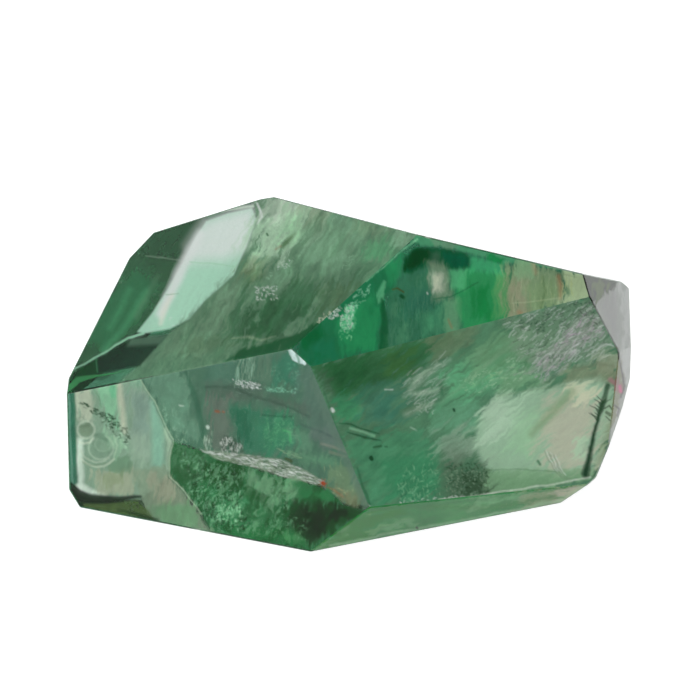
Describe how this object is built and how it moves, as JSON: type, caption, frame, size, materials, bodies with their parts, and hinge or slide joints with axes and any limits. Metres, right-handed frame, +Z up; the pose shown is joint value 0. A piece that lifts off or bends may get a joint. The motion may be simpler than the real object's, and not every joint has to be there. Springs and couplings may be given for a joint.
{
  "type": "polished fluorite freeform",
  "caption": "Palm-size piece of clear green fluorite, cut into irregular flat facets and polished, resting on a flat base.",
  "frame": {"origin": "middle of the stone's bounding box in plan, at the flat base that it rests on", "axes": "+X along the stone's long way, +Y from the tall front flats to the back, +Z up from the resting flat"},
  "size_m": [0.0762, 0.0562, 0.0355],
  "materials": {
    "fluorite": "polished clear green fluorite with milky veils"
  },
  "bodies": {
    "root": {"stone": "fluorite"}
  },
  "joints": []
}
